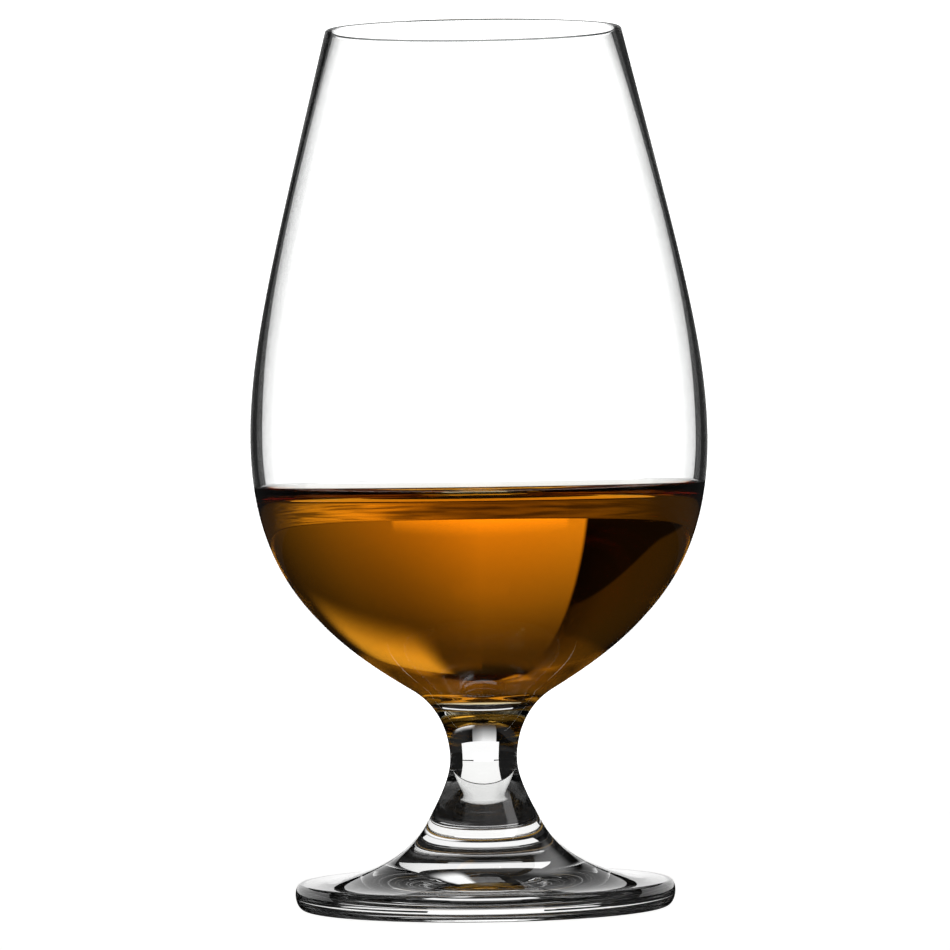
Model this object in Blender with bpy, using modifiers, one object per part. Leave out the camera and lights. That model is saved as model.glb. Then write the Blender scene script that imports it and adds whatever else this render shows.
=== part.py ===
"""Stemmed beer tasting glass with a drink in it.

A blown tulip bowl, a pressed waisted stem and a pressed foot are joined end to end while hot.
All the pieces are turned about the Z axis, the glass stands on z = 0, and sizes are in metres.
An outline is a list of points (radius, height).
"""

import math

import bpy
from mathutils import Vector
from mathutils.geometry import interpolate_bezier

# Outside of the glass, from the rim down to the foot
HEIGHT = 0.150
RIM_RADIUS = 0.0254
BELLY_RADIUS = 0.03915
BELLY_HEIGHT = 0.080
NAPE_RADIUS = 0.0120
NAPE_HEIGHT = 0.0371
WAIST_RADIUS = 0.00575
WAIST_HEIGHT = 0.0253
FLARE_RADIUS = 0.0094
FLARE_HEIGHT = 0.0153
FOOT_RADIUS = 0.03245
FOOT_EDGE_HEIGHT = 0.00445
FOOT_WIDEST_HEIGHT = 0.0026
FOOT_SHOULDER = 0.00105
FOOT_TUCK = 0.00155

# How steeply the outline runs at the places named above
RIM_LEAN = math.radians(13.8)
NAPE_SLOPE = math.radians(31.0)
FLARE_LEAN = math.radians(26.0)
FOOT_TOP_SLOPE = math.radians(2.3)

# Inside of the bowl: thickness of the wall at the rim, the belly and the floor
RIM_WALL = 0.0011
BELLY_WALL = 0.0012
FLOOR_WALL = 0.0022
INNER_LEAN = math.radians(15.0)

# Underside of the foot: a flat standing ring round a shallow dish
RING_WIDTH = 0.0040
DISH_DEPTH = 0.0012

# Where the three glass pieces meet, and the room that is left between neighbours
BOWL_SEAT_HEIGHT = 0.0335
FOOT_SEAT_HEIGHT = 0.0090
JOIN_GAP = 0.0003

# The drink: its level in the middle, and how it climbs the wall
DRINK_LEVEL = 0.0702
MENISCUS_RISE = 0.0021
MENISCUS_REACH = 0.0019
MENISCUS_SPAN = 5.0

# Fullness of each curve: the length of its end handle as a share of the run between its ends
RIM_FULLNESS = 0.51
BELLY_TOP_FULLNESS = 0.23
BELLY_BOTTOM_FULLNESS = 0.567
NAPE_TOP_FULLNESS = 0.53
NAPE_BOTTOM_FULLNESS = 0.87
WAIST_TOP_FULLNESS = 0.227
WAIST_BOTTOM_FULLNESS = 0.35
FLARE_TOP_FULLNESS = 0.21
FLARE_BOTTOM_FULLNESS = 0.507
FOOT_TOP_FULLNESS = 0.606
FLOOR_FULLNESS = 0.33

# Facets: a turn has enough of them to read as round, and a curve has enough steps to read as smooth
TURN_STEPS = 60
SIDE_STEPS = 9
LOWER_STEPS = 10
FLOOR_STEPS = 4
STEM_STEPS = 8
FOOT_STEPS = 8
EDGE_STEPS = 4
LIP_STEPS = 8
DISH_STEPS = 5
MENISCUS_STEPS = 7
MERGE_DISTANCE = 0.00001

DOWN = Vector((0.0, -1.0))
OUT = Vector((1.0, 0.0))


def clear_scene():
    """Start from an empty scene."""
    for thing in list(bpy.data.objects):
        bpy.data.objects.remove(thing, do_unlink=True)


def direction(angle):
    """Unit step out and up, at an angle above level."""
    return Vector((math.cos(angle), math.sin(angle)))


def curve(start, start_handle, end_handle, end, steps):
    """Smooth curve between two outline points, both ends included."""
    return interpolate_bezier(start, start + start_handle, end + end_handle, end, steps + 1)


def quarter(centre, across, up, start_angle, steps):
    """Quarter of an ellipse, turning clockwise from a start angle."""
    points = []
    for step in range(steps + 1):
        angle = start_angle - step / steps * math.pi / 2
        points.append(centre + Vector((across * math.cos(angle), up * math.sin(angle))))
    return points


def chain(*stretches):
    """One outline from stretches that each start where the last one ended."""
    points = list(stretches[0])
    for stretch in stretches[1:]:
        points.extend(stretch[1:])
    return points


def at_height(outline, height):
    """Point where a falling outline passes a height."""
    for upper, lower in zip(outline, outline[1:]):
        if upper.y >= height >= lower.y:
            return upper.lerp(lower, (upper.y - height) / (upper.y - lower.y))
    return outline[-1].copy()


def between(outline, top, bottom):
    """Stretch of a falling outline from one height down to another."""
    inner = [p for p in outline if bottom + MERGE_DISTANCE < p.y < top - MERGE_DISTANCE]
    return [at_height(outline, top), *inner, at_height(outline, bottom)]


def moved_in(outline, distance):
    """Outline of a hollow moved into the hollow, for one that falls and ends on the axis."""
    mirrored_end = Vector((-outline[-2].x, outline[-2].y))
    before = [outline[0], *outline[:-1]]
    after = [*outline[1:], mirrored_end]
    moved = []
    for point, last, following in zip(outline, before, after):
        run = (following - last).normalized()
        moved.append(point + Vector((run.y, -run.x)) * distance)
    return moved


def bowl_side(rim, lean, belly):
    """Side of the bowl from the rim down to the belly, where it stands upright."""
    drop = rim.y - belly.y
    rim_handle = Vector((math.tan(lean), -1.0)) * RIM_FULLNESS * drop
    belly_handle = -DOWN * BELLY_TOP_FULLNESS * drop
    return curve(rim, rim_handle, belly_handle, belly, SIDE_STEPS)


def nape_run():
    """Step along the slope of the nape that goes one unit out."""
    return direction(NAPE_SLOPE) / math.cos(NAPE_SLOPE)


def bowl_underside(belly, nape):
    """Underside of the bowl from the belly, where it stands upright, down to the nape."""
    belly_handle = DOWN * BELLY_BOTTOM_FULLNESS * (belly.y - nape.y)
    nape_handle = nape_run() * NAPE_TOP_FULLNESS * (belly.x - nape.x)
    return curve(belly, belly_handle, nape_handle, nape, LOWER_STEPS)


def lip_point():
    """Outer point where the side of the bowl turns into the round lip."""
    half_wall = RIM_WALL / 2
    return Vector((RIM_RADIUS, HEIGHT - half_wall * (1 - math.sin(RIM_LEAN))))


def outer_outline():
    """Outside of the whole glass, from the lip down to the shoulder of the foot."""
    belly = Vector((BELLY_RADIUS, BELLY_HEIGHT))
    nape = Vector((NAPE_RADIUS, NAPE_HEIGHT))
    waist = Vector((WAIST_RADIUS, WAIST_HEIGHT))
    flare = Vector((FLARE_RADIUS, FLARE_HEIGHT))
    shoulder = Vector((FOOT_RADIUS - FOOT_SHOULDER, FOOT_EDGE_HEIGHT))

    flare_run = Vector((math.tan(FLARE_LEAN), -1.0))
    top_run = Vector((-1.0, math.tan(FOOT_TOP_SLOPE)))

    neck = curve(
        nape,
        -nape_run() * NAPE_BOTTOM_FULLNESS * (nape.x - waist.x),
        -DOWN * WAIST_TOP_FULLNESS * (nape.y - waist.y),
        waist,
        STEM_STEPS,
    )
    ankle = curve(
        waist,
        DOWN * WAIST_BOTTOM_FULLNESS * (waist.y - flare.y),
        -flare_run * FLARE_TOP_FULLNESS * (waist.y - flare.y),
        flare,
        STEM_STEPS,
    )
    foot_top = curve(
        flare,
        flare_run * FLARE_BOTTOM_FULLNESS * (flare.y - shoulder.y),
        top_run * FOOT_TOP_FULLNESS * (shoulder.x - flare.x),
        shoulder,
        FOOT_STEPS,
    )
    side = bowl_side(lip_point(), RIM_LEAN, belly)
    return chain(side, bowl_underside(belly, nape), neck, ankle, foot_top)


def inner_outline():
    """Inside of the bowl, from the lip along an even wall to the middle of the round floor."""
    rim = lip_point() - direction(RIM_LEAN) * RIM_WALL
    belly = Vector((BELLY_RADIUS - BELLY_WALL, BELLY_HEIGHT))
    into_bowl = direction(NAPE_SLOPE + math.pi / 2)
    nape = Vector((NAPE_RADIUS, NAPE_HEIGHT)) + into_bowl * FLOOR_WALL
    middle = Vector((0.0, nape.y - nape.x * math.tan(NAPE_SLOPE / 2)))
    floor = curve(
        nape,
        -nape_run() * FLOOR_FULLNESS * nape.x,
        OUT * FLOOR_FULLNESS * nape.x,
        middle,
        FLOOR_STEPS,
    )
    side = bowl_side(rim, INNER_LEAN, belly)
    return chain(side, bowl_underside(belly, nape), floor)


def bowl_outline(outside, inside):
    """Blown bowl: inside, fire-polished lip, outside, and the flat seat that the stem is fused to."""
    half_wall = RIM_WALL / 2
    middle = (outside[0] + inside[0]) / 2
    lip = []
    for step in range(1, LIP_STEPS):
        angle = math.pi + RIM_LEAN - math.pi * step / LIP_STEPS
        lip.append(middle + direction(angle) * half_wall)
    seat = BOWL_SEAT_HEIGHT + JOIN_GAP / 2
    side = between(outside, outside[0].y, seat)
    return [*reversed(inside), *lip, *side, Vector((0.0, seat))]


def stem_outline(outside):
    """Solid stem, flat at both ends."""
    top = BOWL_SEAT_HEIGHT - JOIN_GAP / 2
    bottom = FOOT_SEAT_HEIGHT + JOIN_GAP / 2
    return [Vector((0.0, top)), *between(outside, top, bottom), Vector((0.0, bottom))]


def foot_outline(outside):
    """Foot: flat seat, sloping top, rounded edge, standing ring and shallow dish."""
    seat = FOOT_SEAT_HEIGHT - JOIN_GAP / 2
    top = between(outside, seat, FOOT_EDGE_HEIGHT)
    upper_edge = quarter(
        Vector((FOOT_RADIUS - FOOT_SHOULDER, FOOT_WIDEST_HEIGHT)),
        FOOT_SHOULDER,
        FOOT_EDGE_HEIGHT - FOOT_WIDEST_HEIGHT,
        math.pi / 2,
        EDGE_STEPS,
    )
    lower_edge = quarter(
        Vector((FOOT_RADIUS - FOOT_TUCK, FOOT_WIDEST_HEIGHT)),
        FOOT_TUCK,
        FOOT_WIDEST_HEIGHT,
        0.0,
        EDGE_STEPS,
    )
    dish_radius = FOOT_RADIUS - FOOT_TUCK - RING_WIDTH
    dish = []
    for step in range(DISH_STEPS + 1):
        share = 1 - step / DISH_STEPS
        dish.append(Vector((dish_radius * share, DISH_DEPTH * (1 - share * share))))
    return [Vector((0.0, seat)), *chain(top, upper_edge, lower_edge), *dish]


def drink_outline(inside):
    """Drink: level in the middle, curving up to its edge, then following the wall to the floor."""
    wall = moved_in(inside, JOIN_GAP)
    edge_height = DRINK_LEVEL + MENISCUS_RISE
    side = between(wall, edge_height, wall[-1].y)
    surface = [Vector((0.0, DRINK_LEVEL))]
    for step in range(MENISCUS_STEPS):
        from_wall = MENISCUS_REACH * MENISCUS_SPAN * (1 - step / MENISCUS_STEPS) ** 2
        climb = MENISCUS_RISE * math.exp(-from_wall / MENISCUS_REACH)
        surface.append(Vector((side[0].x - from_wall, DRINK_LEVEL + climb)))
    return [*surface, *side]


def material(name, colour, roughness, transmission, ior):
    """Plain see-through material."""
    made = bpy.data.materials.new(name)
    made.use_nodes = True
    shader = made.node_tree.nodes["Principled BSDF"]
    shader.inputs["Base Color"].default_value = (*colour, 1.0)
    shader.inputs["Metallic"].default_value = 0.0
    shader.inputs["Roughness"].default_value = roughness
    shader.inputs["Transmission Weight"].default_value = transmission
    shader.inputs["IOR"].default_value = ior
    made.diffuse_color = (*colour, 1.0)
    return made


def turned(name, outline, origin_height, finish, parent, collection):
    """Round piece with its origin on the axis, at the height where it is seated."""
    points = [(p.x, 0.0, p.y - origin_height) for p in outline]
    edges = [(n, n + 1) for n in range(len(points) - 1)]
    mesh = bpy.data.meshes.new(name)
    mesh.from_pydata(points, edges, [])
    mesh.materials.append(finish)
    piece = bpy.data.objects.new(name, mesh)
    piece.parent = parent
    piece.location.z = origin_height
    collection.objects.link(piece)

    screw = piece.modifiers.new("turn", "SCREW")
    screw.axis = "Z"
    screw.angle = 2 * math.pi
    screw.steps = TURN_STEPS
    screw.render_steps = TURN_STEPS
    screw.use_merge_vertices = True
    screw.merge_threshold = MERGE_DISTANCE
    screw.use_smooth_shade = True
    return piece


def build():
    """Model the glass and the drink in it."""
    clear_scene()
    collection = bpy.data.collections.new("beer_tasting_glass")
    bpy.context.scene.collection.children.link(collection)
    axis = bpy.data.objects.new("glass_axis", None)
    collection.objects.link(axis)

    outside = outer_outline()
    inside = inner_outline()

    blown_glass = material("blown_glass", (0.97, 0.98, 0.98), 0.0, 1.0, 1.52)
    stem_glass = material("stem_glass", (0.96, 0.97, 0.97), 0.0, 1.0, 1.52)
    foot_glass = material("foot_glass", (0.95, 0.96, 0.96), 0.02, 1.0, 1.52)
    amber_drink = material("amber_drink", (0.80, 0.40, 0.03), 0.0, 1.0, 1.34)

    turned("foot", foot_outline(outside), 0.0, foot_glass, axis, collection)
    turned("stem", stem_outline(outside), FOOT_SEAT_HEIGHT, stem_glass, axis, collection)
    turned("bowl", bowl_outline(outside, inside), BOWL_SEAT_HEIGHT, blown_glass, axis, collection)
    turned("drink", drink_outline(inside), inside[-1].y, amber_drink, axis, collection)


build()
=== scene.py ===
import math

import bpy
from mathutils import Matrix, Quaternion, Vector


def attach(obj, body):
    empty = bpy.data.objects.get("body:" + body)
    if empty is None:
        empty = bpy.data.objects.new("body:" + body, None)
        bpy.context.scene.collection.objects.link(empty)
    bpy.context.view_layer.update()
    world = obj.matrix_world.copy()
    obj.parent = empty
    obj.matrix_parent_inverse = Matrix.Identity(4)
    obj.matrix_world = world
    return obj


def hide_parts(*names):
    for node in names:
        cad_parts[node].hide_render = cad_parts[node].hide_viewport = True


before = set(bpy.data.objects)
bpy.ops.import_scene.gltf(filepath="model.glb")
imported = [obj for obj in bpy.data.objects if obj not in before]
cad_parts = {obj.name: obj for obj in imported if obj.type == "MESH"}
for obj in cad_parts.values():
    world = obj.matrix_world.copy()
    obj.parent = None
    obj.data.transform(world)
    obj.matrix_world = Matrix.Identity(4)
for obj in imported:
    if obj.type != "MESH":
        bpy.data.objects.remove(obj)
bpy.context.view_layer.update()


# The bowl: a tulip of clear glass, blown thin and drawn in towards the mouth, with a lip melted round in a flame.
# Its wall is about 1 mm thick at the side and 2 mm at the floor, and it is fused to the stem.
# Each row of sizes is one smooth stretch of the outline, as radius and height in mm: start, two handles and end.
bowl_inside = [
    [(0.0, 35.9721), (3.5861, 35.9721), (7.2808, 36.831), (10.8669, 38.9858)],
    [(10.8669, 38.9858), (23.4688, 46.5577), (34.8181, 54.5224), (37.4012, 72.0902)],
    [(37.4012, 72.0902), (37.7603, 74.5329), (37.95, 77.1612), (37.95, 80.0)],
    [(37.95, 80.0), (37.95, 95.9433), (33.8045, 113.9662), (24.3318, 149.3188)],
]
bowl_outside = [
    [(25.4, 149.5812), (34.1163, 114.0948), (39.15, 96.0037), (39.15, 80.0)],
    [(39.15, 80.0), (39.15, 55.6757), (26.3895, 45.7461), (12.0, 37.1)],
    [(12.0, 37.1), (10.3197, 36.0904), (9.081, 34.8337), (8.1715, 33.5)],
]
inside_steps = [24, 64, 12, 64]
outside_steps = [64, 72, 12]
lip_radius = 0.55
lip_lean = math.radians(13.8)
# The middle share of the lip arc, over the crest of the rounded lip, gets a dark grey glass further down: painted
# shade that draws a dark line along the rim.
lip_shares = [(1.0, 0.86, 4), (0.86, 0.14, 18), (0.14, 0.0, 4)]
clear_tint = (0.995, 0.998, 0.996)
colourless = (1.0, 1.0, 1.0)
# Dark grey tint for the crest of the lip: painted shade, not a colour that the clear glass has.
painted_dark_crest_tint = (0.22, 0.23, 0.23)
glass_index = 1.5
wetted_index = 1.0


def stretch(row, steps):
    """Points along a smooth stretch of an outline, each with the way that the outline runs there."""
    start, first, second, end = (Vector(corner) for corner in row)
    points = []
    for step in range(steps + 1):
        far = step / steps
        near = 1 - far
        point = start * near**3 + first * 3 * near * near * far + second * 3 * near * far * far + end * far**3
        run = (first - start) * near * near + (second - first) * 2 * near * far + (end - second) * far * far
        points.append((point, run.normalized()))
    return points


def arc(centre, across, up, start, end, steps):
    """Points along part of an upright ellipse, turning clockwise between two angles."""
    points = []
    for step in range(steps + 1):
        angle = start + (end - start) * step / steps
        point = Vector((centre[0] + across * math.cos(angle), centre[1] + up * math.sin(angle)))
        points.append((point, Vector((across * math.sin(angle), -up * math.cos(angle))).normalized()))
    return points


def turned(name, outline, finishes, turns=192):
    """Round piece turned about the axis, with a finish for each stretch, shaded by the true run of its outline."""
    mm_per_metre = 1000
    on_axis = 0.0005
    corners = []
    rings = []
    for number, points in enumerate(outline):
        for point, run in points if number == 0 else points[1:]:
            count = 1 if point.x < on_axis else turns
            rings.append(range(len(corners), len(corners) + count))
            for turn in range(count):
                angle = 2 * math.pi * turn / turns
                corner = (point.x * math.cos(angle), point.x * math.sin(angle), point.y)
                corners.append([length / mm_per_metre for length in corner])

    faces = []
    facings = []
    slots = []
    ring = 0
    used = list(dict.fromkeys(finishes))
    for points, finish in zip(outline, finishes):
        for (point, run), (next_point, next_run) in zip(points, points[1:]):
            upper, lower = rings[ring], rings[ring + 1]
            ring += 1
            for turn in range(turns):
                angles = (2 * math.pi * turn / turns, 2 * math.pi * (turn + 1) / turns)
                sides = [(upper, turn, run, angles[0]), (lower, turn, next_run, angles[0])]
                sides += [(lower, turn + 1, next_run, angles[1]), (upper, turn + 1, run, angles[1])]
                if len(lower) == 1:
                    sides.pop(2)
                if len(upper) == 1:
                    sides.pop(0)
                faces.append([members[at % len(members)] for members, at, way, angle in sides])
                slots.append(used.index(finish))
                for members, at, way, angle in sides:
                    facings.append((-way.y * math.cos(angle), -way.y * math.sin(angle), way.x))

    mesh = bpy.data.meshes.new(name)
    mesh.from_pydata(corners, [], faces)
    mesh.shade_smooth()
    mesh.normals_split_custom_set(facings)
    for finish in used:
        mesh.materials.append(finish)
    mesh.polygons.foreach_set("material_index", slots)
    piece = bpy.data.objects.new(name, mesh)
    bpy.context.scene.collection.objects.link(piece)
    return piece


def clear_glass(name, tint, ripple, ripple_size, upright, index=glass_index, wear=(0.0, 0.02)):
    """Clear glass with the faint ripple that working it hot leaves, and a hardly visible film of handling."""
    finish = bpy.data.materials.new(name)
    finish.use_nodes = True
    nodes, links = finish.node_tree.nodes, finish.node_tree.links
    shader = nodes["Principled BSDF"]
    shader.inputs["Base Color"].default_value = (*tint, 1.0)
    shader.inputs["Transmission Weight"].default_value = 1.0
    shader.inputs["IOR"].default_value = index

    place = nodes.new("ShaderNodeTexCoord")
    drawn = nodes.new("ShaderNodeMapping")
    drawn.inputs["Scale"].default_value = (1.0, 1.0, 1.0 / upright)
    links.new(place.outputs["Object"], drawn.inputs["Vector"])
    waves = nodes.new("ShaderNodeTexNoise")
    waves.inputs["Scale"].default_value = 1.0 / ripple_size
    waves.inputs["Detail"].default_value = 1.0
    links.new(drawn.outputs["Vector"], waves.inputs["Vector"])
    bump = nodes.new("ShaderNodeBump")
    bump.inputs["Strength"].default_value = 1.0
    bump.inputs["Distance"].default_value = ripple
    links.new(waves.outputs["Fac"], bump.inputs["Height"])
    links.new(bump.outputs["Normal"], shader.inputs["Normal"])

    film = nodes.new("ShaderNodeTexNoise")
    film.inputs["Scale"].default_value = 120.0
    film.inputs["Detail"].default_value = 4.0
    links.new(place.outputs["Object"], film.inputs["Vector"])
    haze = nodes.new("ShaderNodeMapRange")
    haze.inputs["From Min"].default_value = 0.55
    haze.inputs["From Max"].default_value = 0.8
    haze.inputs["To Min"].default_value = wear[0]
    haze.inputs["To Max"].default_value = wear[1]
    links.new(film.outputs["Fac"], haze.inputs["Value"])
    links.new(haze.outputs["Result"], shader.inputs["Roughness"])
    return finish


lip_middle = (Vector(bowl_inside[-1][-1]) + Vector(bowl_outside[0][0])) / 2
bowl_outline = [stretch(row, steps) for row, steps in zip(bowl_inside, inside_steps)]
for start, end, steps in lip_shares:
    angles = (math.pi * start + lip_lean, math.pi * end + lip_lean)
    bowl_outline.append(arc(lip_middle, lip_radius, lip_radius, *angles, steps))
bowl_outline += [stretch(row, steps) for row, steps in zip(bowl_outside, outside_steps)]

blown_glass = clear_glass("blown_glass", clear_tint, ripple=0.000004, ripple_size=0.012, upright=3.0)
wetted_glass = clear_glass("wetted_glass", colourless, 0.000001, 0.012, 3.0, index=wetted_index)
# The crest of the lip is tinted dark grey: painted shade for the dark line along the rim.
painted_dark_crest_glass = clear_glass("painted_dark_crest_glass", painted_dark_crest_tint, ripple=0.000002, ripple_size=0.012, upright=3.0)
bowl_finishes = [wetted_glass] * 2 + [blown_glass] * 3 + [painted_dark_crest_glass] + [blown_glass] * 4
bowl = turned("tulip_bowl", bowl_outline, bowl_finishes)
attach(bowl, "glass")
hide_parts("bowl")


# The stem: a short solid rod of clear glass, drawn to a waist and spreading again towards the foot.
# It is fused to the bowl and the foot while hot, so its two ends are open here and no seam shows.
stem_rows = [
    [(8.1715, 33.5), (6.1379, 30.5179), (5.75, 27.1508), (5.75, 25.3)],
    [(5.75, 25.3), (5.75, 21.8), (8.3758, 17.4), (9.4, 15.3)],
    [(9.4, 15.3), (10.5266, 12.9902), (12.2353, 10.8016), (14.8257, 9.0)],
]
stem_steps = 32
drawn_glass = clear_glass("drawn_glass", clear_tint, ripple=0.000005, ripple_size=0.006, upright=4.0)
stem = turned("waisted_stem", [stretch(row, stem_steps) for row in stem_rows], [drawn_glass] * len(stem_rows))
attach(stem, "glass")
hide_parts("stem")


# The foot: a pressed disc of clear glass that slopes down to a rounded edge and stands on a flat ring.
# The dish inside the ring keeps its middle off the table, and use has dulled the ring with fine scratches.
foot_top = [(14.8257, 9.0), (18.4044, 6.511), (23.666, 4.7606), (31.4, 4.45)]
foot_dish = [(26.9, 0.0), (23.5, 0.02), (15.0, 1.2), (0.0, 1.2)]
foot_radius = 32.45
foot_widest = 2.6
foot_shoulder = (1.05, 1.85)
foot_tuck = (1.55, 2.6)
ring_edge = foot_radius - foot_tuck[0]
foot_ring = [(ring_edge, 0.0), (ring_edge - 1.0, 0.0), (27.9, 0.0), (26.9, 0.0)]
edge_steps = 16

shoulder_middle = (foot_radius - foot_shoulder[0], foot_widest)
foot_outline = [stretch(foot_top, steps=48)]
foot_outline.append(arc(shoulder_middle, *foot_shoulder, math.pi / 2, 0.0, edge_steps))
foot_outline.append(arc((ring_edge, foot_widest), *foot_tuck, 0.0, -math.pi / 2, edge_steps))
foot_outline.append(stretch(foot_ring, steps=4))
foot_outline.append(stretch(foot_dish, steps=40))

pressed_glass = clear_glass("pressed_glass", clear_tint, ripple=0.000006, ripple_size=0.008, upright=1.0)
scuffed_glass = clear_glass("scuffed_glass", clear_tint, 0.00001, 0.0004, 1.0, wear=(0.12, 0.45))
foot = turned("pressed_foot", foot_outline, [pressed_glass] * 3 + [scuffed_glass, pressed_glass])
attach(foot, "glass")
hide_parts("foot")


# The drink: a clear amber liquid, poured in to below the belly of the bowl, that climbs the wall at its edge.
# It wets the glass, so its side lies a hair inside the wall here and no air shows between the two.
# Light bends at that wall by the ratio of drink to glass, and at the free surface by the drink alone.
drink_edge = 72.3
drink_rise = 2.3
drink_curl = 2.2
drink_overlap = 0.2
drink_steps = [24, 96, 48]
drink_turns = 256
drink_index = 1.345
surface_steps = 96
first_climb = 0.004
amber = (0.93, 0.72, 0.05, 1.0)
amber_density = 90.0


def wetted(points, overlap):
    """Outline of the drink's side: the inside of the bowl, moved a little into the wall."""
    return [(point + Vector((run.y, -run.x)) * overlap, run) for point, run in points]


drink_side = []
for row, steps in zip(bowl_inside, drink_steps):
    drink_side = drink_side[:-1] + wetted(stretch(row, steps), drink_overlap)
below = [(point, -run) for point, run in reversed(drink_side) if point.y < drink_edge]
first_above = drink_side[len(below)]
share = (drink_edge - below[0][0].y) / (first_above[0].y - below[0][0].y)
below.insert(0, (below[0][0].lerp(first_above[0], share), below[0][1]))
below[-1] = (Vector((0.0, below[-1][0].y)), Vector((-1.0, 0.0)))

edge_radius = below[0][0].x
drink_level = drink_edge - drink_rise
surface = [(Vector((0.0, drink_level)), Vector((1.0, 0.0)))]
for step in range(surface_steps + 1):
    climb = drink_rise * (first_climb + (1 - first_climb) * (step / surface_steps) ** 2)
    bend = math.acosh(2 * drink_curl / climb) - math.acosh(2 * drink_curl / drink_rise)
    reach = math.sqrt(4 * drink_curl**2 - climb**2) - math.sqrt(4 * drink_curl**2 - drink_rise**2)
    slope = 2 * math.asin(climb / (2 * drink_curl))
    point = Vector((edge_radius - drink_curl * bend + reach, drink_level + climb))
    surface.append((point, Vector((math.cos(slope), math.sin(slope)))))

amber_drink = clear_glass("amber_drink", colourless, 0.000002, 0.01, 1.0, index=drink_index)
amber_nodes, amber_links = amber_drink.node_tree.nodes, amber_drink.node_tree.links
bending = amber_nodes.new("ShaderNodeAttribute")
bending.attribute_name = "bending"
amber_links.new(bending.outputs["Fac"], amber_nodes["Principled BSDF"].inputs["IOR"])
amber_body = amber_nodes.new("ShaderNodeVolumeAbsorption")
amber_body.inputs["Color"].default_value = amber
amber_body.inputs["Density"].default_value = amber_density
amber_links.new(amber_body.outputs["Volume"], amber_nodes["Material Output"].inputs["Volume"])

drink = turned("poured_drink", [surface, below], [amber_drink] * 2, drink_turns)
surface_faces = (len(surface) - 1) * drink_turns
side_faces = len(drink.data.polygons) - surface_faces
bends = [drink_index] * surface_faces + [drink_index / glass_index] * side_faces
drink.data.attributes.new("bending", "FLOAT", "FACE").data.foreach_set("value", bends)
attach(drink, "drink")
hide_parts("drink")


# The floor: a plain pale sheet of smooth acrylic that the glass stands on.
# It is lit from below, and its glow is left out of light that has been mirrored on the way.
floor_radius = 0.25
floor_level = -0.0003


def sheet(name, inner, outer, start, end, low, high, finish):
    """Flat ring or leaning strip of a ring, centred on the glass, between two bearings in degrees."""
    steps = 96
    corners = []
    for step in range(steps + 1):
        angle = math.radians(start + (end - start) * step / steps)
        corners.append((inner * math.sin(angle), inner * math.cos(angle), low))
        corners.append((outer * math.sin(angle), outer * math.cos(angle), high))
    faces = [(2 * n, 2 * n + 1, 2 * n + 3, 2 * n + 2) for n in range(steps)]
    mesh = bpy.data.meshes.new(name)
    mesh.from_pydata(corners, [], faces)
    mesh.materials.append(finish)
    made = bpy.data.objects.new(name, mesh)
    bpy.context.scene.collection.objects.link(made)
    return made


def number_node(operation, *values):
    """One sum on numbers or on the outputs of other nodes."""
    node = nodes.new("ShaderNodeMath")
    node.operation = operation
    for socket, value in zip(node.inputs, values):
        if isinstance(value, (int, float)):
            socket.default_value = value
        else:
            links.new(value, socket)
    return node.outputs["Value"]


def dimmed(amount, loss):
    """Share of light that is left: all of it where the amount is 0, and less by the loss where it is 1."""
    return number_node("MULTIPLY_ADD", amount, -loss, 1.0)


acrylic = bpy.data.materials.new("pale_acrylic")
acrylic.use_nodes = True
nodes, links = acrylic.node_tree.nodes, acrylic.node_tree.links
shader = nodes["Principled BSDF"]
shader.inputs["Base Color"].default_value = (0.15, 0.15, 0.15, 1.0)
shader.inputs["Roughness"].default_value = 0.35
shader.inputs["Emission Color"].default_value = (1.0, 1.0, 0.99, 1.0)
light_path = nodes.new("ShaderNodeLightPath")
mirrored = number_node("MINIMUM", light_path.outputs["Glossy Depth"], 1.0)
links.new(dimmed(mirrored, 1.0), shader.inputs["Emission Strength"])
sheet("floor", 0.0, floor_radius, 0.0, 360.0, floor_level, floor_level, acrylic)


# The flags: black cloth, black louvre rings and white cards, standing on the floor close round the foot.
# They shape the light in the foot, the stem and the underside of the bowl, and only the glass sees them.
# A gap is left between them straight behind the stem, where one more white card stands farther off.
gap_left = -17.0
gap_right = 26.0
flag_end = 110.0
flag_distance = 0.1
flag_height = 0.032
flag_foot = -0.0002
louvre_count = 16
louvre_start = 0.036
louvre_spacing = 0.004
louvre_height = 0.0045
card_distance = 0.12
card_span = (0.016, 0.05)
leaning_card = (0.046, 0.036)
leaning_back = (0.048, 0.035)
leaning_foot = 0.003
leaning_top = 0.0105
back_top = 0.012
leaning_bearings = {"left": (-flag_end, -20.0), "right": (gap_right, flag_end)}
wide_level = -0.0001


def flag(name, radii, bearings, heights, finish, in_mirror=False):
    """Sheet that only the glass sees: through itself or, when it is in the mirror, on its surface."""
    made = sheet(name, *radii, *bearings, *heights, finish)
    made.visible_camera = False
    made.visible_diffuse = False
    made.visible_shadow = False
    made.visible_glossy = in_mirror
    made.visible_transmission = not in_mirror


black_cloth = bpy.data.materials.new("black_cloth")
black_cloth.use_nodes = True
shader = black_cloth.node_tree.nodes["Principled BSDF"]
shader.inputs["Base Color"].default_value = (0.02, 0.02, 0.02, 1.0)
shader.inputs["Roughness"].default_value = 0.9
shader.inputs["Specular IOR Level"].default_value = 0.0
white_card = bpy.data.materials.new("white_card")
white_card.use_nodes = True
shader = white_card.node_tree.nodes["Principled BSDF"]
shader.inputs["Base Color"].default_value = (0.15, 0.15, 0.15, 1.0)
shader.inputs["Emission Color"].default_value = (1.0, 1.0, 1.0, 1.0)
shader.inputs["Emission Strength"].default_value = 1.0

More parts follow.
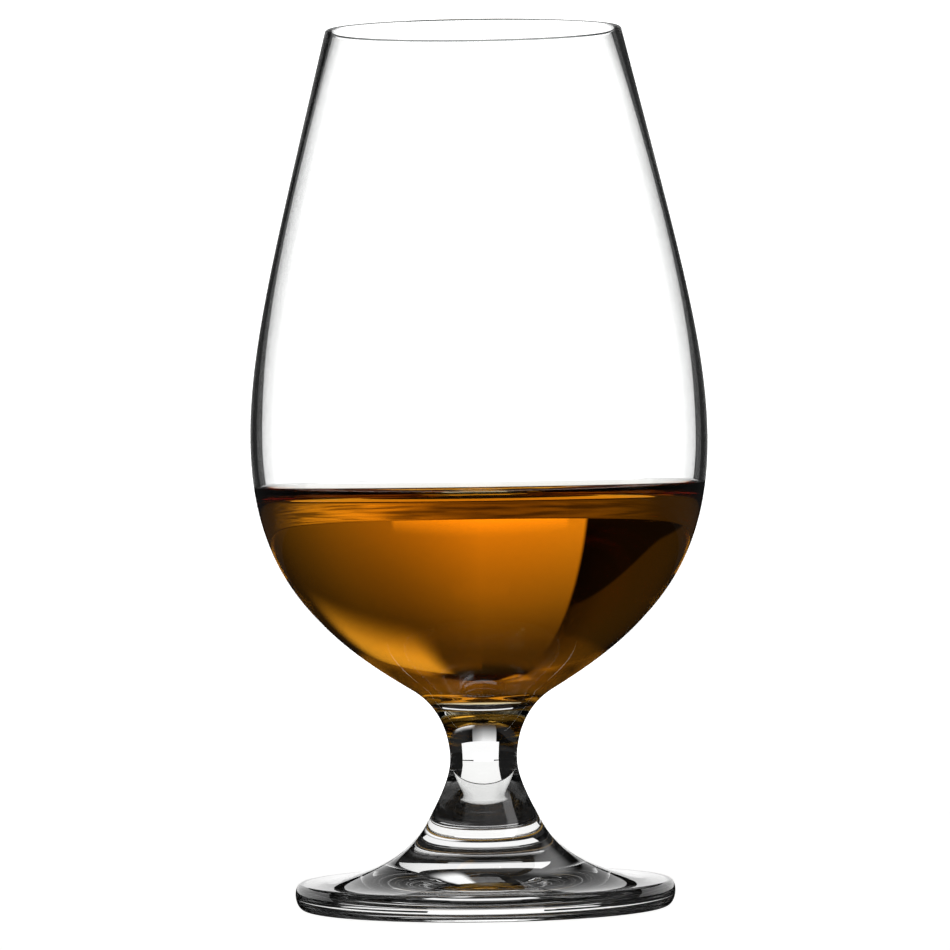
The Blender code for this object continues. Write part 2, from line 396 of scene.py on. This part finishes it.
for number in range(louvre_count):
    radius = louvre_start + louvre_spacing * number
    all_but_gap = (gap_right, gap_left + 360.0)
    flag(f"louvre_{number}", (radius, radius), all_but_gap, (flag_foot, louvre_height), black_cloth)
flag_radii = (flag_distance, flag_distance)
flag("flag_right", flag_radii, (gap_right, flag_end), (flag_foot, flag_height), black_cloth)
flag("flag_left", flag_radii, (-flag_end, gap_left), (flag_foot, flag_height), black_cloth)
flag("card_behind", (card_distance, card_distance), (gap_left, gap_right), card_span, white_card)
for side, (start, end) in leaning_bearings.items():
    card_heights = (leaning_foot, leaning_top)
    back_heights = (leaning_foot, back_top)
    flag(f"card_{side}", leaning_card, (start, end), card_heights, white_card, in_mirror=True)
    back_bearings = (start - 1.0, end + 1.0)
    flag(f"card_back_{side}", leaning_back, back_bearings, back_heights, black_cloth, in_mirror=True)
flag("flag_wide", (0.0, floor_radius), (0.0, 360.0), (wide_level, wide_level), black_cloth, in_mirror=True)


# The studio: a bright backdrop close behind, dark walls at both sides of it, and soft lights above.
# Angles are in degrees round the glass: a bearing of 0 is straight behind it and minus is to the left.
# Light that was bounced inside the glass is dimmed, and light that has passed the drink has its own share.
studio = bpy.data.worlds.new("studio")
bpy.context.scene.world = studio
studio.use_nodes = True
nodes, links = studio.node_tree.nodes, studio.node_tree.links
empty_glass_crossings = 5.0
bounce_loss = 0.75
drink_bounce_loss = 0.23
backdrop_top = (5.5, 9.0)
low_edge = (11.2, 11.9)
low_light = 1.7
low_drink_loss = 0.3
low_foot = (-18.0, -13.0)
high_left = (-14.9, -14.1)
high_right = (11.0, 12.5)
high_drink_start = (3.0, 6.0)
high_light = 1.2
glint_rise = ((-2.0, -1.0), (3.0, 5.0))
glint_right = (0.75, (0.0, 14.0), (18.0, 40.0))
glint_wide = (0.24, (-34.0, -8.0), (30.0, 50.0))
streak_along = 0.08
streak_across = 4.0
ground_edge = (-9.0, -6.0)
wall_light = (0.012, 0.055)
wall_drink_share = (0.65, 0.35)
dark_card_loss = 0.85
strip_light = 1.2
white_level = 1.1


def ramp(value, start, end, low, high):
    """Smooth change from one number to another as a value passes from start to end."""
    node = nodes.new("ShaderNodeMapRange")
    node.interpolation_type = "SMOOTHSTEP"
    node.inputs["From Min"].default_value = start
    node.inputs["From Max"].default_value = end
    node.inputs["To Min"].default_value = low
    node.inputs["To Max"].default_value = high
    links.new(value, node.inputs["Value"])
    return node.outputs["Result"]


def rising(value, edge):
    """Ramp from 0 to 1 over a pair of values."""
    return ramp(value, *edge, 0.0, 1.0)


def falling(value, edge):
    """Ramp from 1 to 0 over a pair of values."""
    return ramp(value, *edge, 1.0, 0.0)


def fading(value, start, length):
    """Light that fades evenly past a start: to about a third over each length."""
    past = number_node("MAXIMUM", number_node("SUBTRACT", value, start), 0.0)
    return number_node("EXPONENT", number_node("DIVIDE", past, -length))


def product(first, *others):
    """Product of several numbers."""
    for other in others:
        first = number_node("MULTIPLY", first, other)
    return first


look = nodes.new("ShaderNodeTexCoord")
split = nodes.new("ShaderNodeSeparateXYZ")
links.new(look.outputs["Generated"], split.inputs["Vector"])
bearing = number_node("DEGREES", number_node("ARCTAN2", split.outputs["X"], split.outputs["Y"]))
height = number_node("DEGREES", number_node("ARCSINE", split.outputs["Z"]))
aside = number_node("ABSOLUTE", bearing)


def patch(strength, left, right, low, high):
    """Light from one part of the studio; each edge is a pair of angles where it starts and ends to fade."""
    across = product(ramp(bearing, *left, 0.0, strength), falling(bearing, right))
    return product(across, rising(height, low), falling(height, high))


light_path = nodes.new("ShaderNodeLightPath")
mirrored = number_node("MINIMUM", light_path.outputs["Glossy Depth"], 1.0)
passed = number_node("MINIMUM", light_path.outputs["Transmission Depth"], 1.0)
in_glass = light_path.outputs["Is Transmission Ray"]
bounced = product(mirrored, passed)
through_drink = number_node("GREATER_THAN", light_path.outputs["Transmission Depth"], empty_glass_crossings)
drink_bounced = product(bounced, through_drink)
kept = number_node("SUBTRACT", dimmed(bounced, bounce_loss), product(drink_bounced, drink_bounce_loss))

upper = rising(height, backdrop_top)
lower = number_node("SUBTRACT", 1.0, upper)
backdrop_low = product(ramp(aside, *low_edge, low_light, 0.0), lower, kept)
backdrop_low = product(backdrop_low, dimmed(through_drink, low_drink_loss), rising(height, low_foot))

seen_above = product(falling(bearing, high_right), upper)
seen_in_drink = product(through_drink, rising(height, high_drink_start))
high_start = number_node("MAXIMUM", seen_above, seen_in_drink)
backdrop_high = product(ramp(bearing, *high_left, 0.0, high_light), fading(bearing, 0.0, 17.0))
backdrop_high = product(backdrop_high, fading(height, 8.0, 11.0), high_start, kept)
backdrop_high = product(backdrop_high, falling(bearing, (40.0, 70.0)), ramp(height, 18.0, 38.0, 1.0, 0.4))

streaks = nodes.new("ShaderNodeTexNoise")
streaks.inputs["Scale"].default_value = 1.0
spread = nodes.new("ShaderNodeCombineXYZ")
links.new(product(bearing, streak_along), spread.inputs["X"])
links.new(product(height, streak_across), spread.inputs["Y"])
links.new(spread.outputs["Vector"], streaks.inputs["Vector"])
glint = number_node("ADD", patch(*glint_right, *glint_rise), patch(*glint_wide, *glint_rise))
glint = product(glint, drink_bounced, ramp(streaks.outputs["Fac"], 0.35, 0.65, 0.25, 1.3))

ground = product(falling(height, ground_edge), kept, in_glass)

dark_card_top = ramp(bearing, -36.0, -14.0, 14.0, 22.0)
dark_card = falling(number_node("SUBTRACT", height, dark_card_top), (-0.5, 0.5))
dark_card = product(dark_card, rising(bearing, (-60.0, -45.0)), falling(bearing, high_left))
walls = product(ramp(aside, 11.0, 24.0, *wall_light), ramp(aside, 60.0, 90.0, 1.0, 0.1))
walls = product(walls, dimmed(product(dark_card, upper), dark_card_loss))
walls = product(walls, number_node("MULTIPLY_ADD", through_drink, *wall_drink_share))

from_square = number_node("ABSOLUTE", number_node("SUBTRACT", aside, 90.0))
from_strip = number_node("ABSOLUTE", number_node("SUBTRACT", from_square, 45.0))
side_strips = product(ramp(from_strip, 33.0, 34.0, 0.0, strip_light), rising(aside, (60.0, 61.0)), in_glass)
side_strips = product(side_strips, rising(height, (-25.0, -22.0)), falling(height, (12.0, 25.0)))

light_behind = patch(1.2, (8.0, 15.0), (34.0, 48.0), (24.0, 40.0), (50.0, 56.0))
light_right = patch(2.4, (94.0, 98.0), (118.0, 126.0), (30.0, 36.0), (64.0, 72.0))
light_left = patch(0.6, (-140.0, -134.0), (-116.0, -110.0), (72.0, 75.0), (80.0, 83.0))
light_front_right = patch(0.6, (118.0, 130.0), (200.0, 201.0), (35.0, 42.0), (66.0, 74.0))
light_front_left = patch(0.45, (-201.0, -200.0), (-130.0, -118.0), (35.0, 42.0), (62.0, 70.0))
total = number_node("ADD", backdrop_low, backdrop_high)
for light in (glint, ground, walls, side_strips, light_behind, product(light_right, kept)):
    total = number_node("ADD", total, light)
for light in (light_left, light_front_right, light_front_left):
    total = number_node("ADD", total, light)
white_behind = product(light_path.outputs["Is Camera Ray"], white_level)
links.new(number_node("MAXIMUM", total, white_behind), nodes["Background"].inputs["Strength"])
nodes["Background"].inputs["Color"].default_value = (1.0, 1.0, 1.0, 1.0)


# The camera: a long lens a metre away, level with the belly and rolled by under a degree, with no blur.
# Its distance, height and roll fit the ellipses of the rim and the foot.
photo_size = 950
pixels_per_metre = 5856.0
axis_shift = -4.5
table_row = 907.0
camera_distance = 1.0
camera_height = 0.0858
camera_roll = math.radians(0.83)
camera_data = bpy.data.cameras.new("camera")
camera_data.sensor_width = 36.0
camera_data.lens = pixels_per_metre * camera_distance * camera_data.sensor_width / photo_size
camera_data.clip_end = 100.0
camera = bpy.data.objects.new("camera", camera_data)
bpy.context.scene.collection.objects.link(camera)
camera.location = (0.0, -camera_distance, camera_height)
aim = Vector((axis_shift / pixels_per_metre, 0.0, (table_row - photo_size / 2) / pixels_per_metre))
level = (aim - camera.location).to_track_quat("-Z", "Y")
camera.rotation_mode = "QUATERNION"
camera.rotation_quaternion = level @ Quaternion((0.0, 0.0, 1.0), -camera_roll)
bpy.context.scene.camera = camera
bpy.context.scene.view_settings.view_transform = "Standard"
bpy.context.scene.cycles.max_bounces = 32
bpy.context.scene.cycles.transmission_bounces = 24
bpy.context.scene.cycles.glossy_bounces = 12
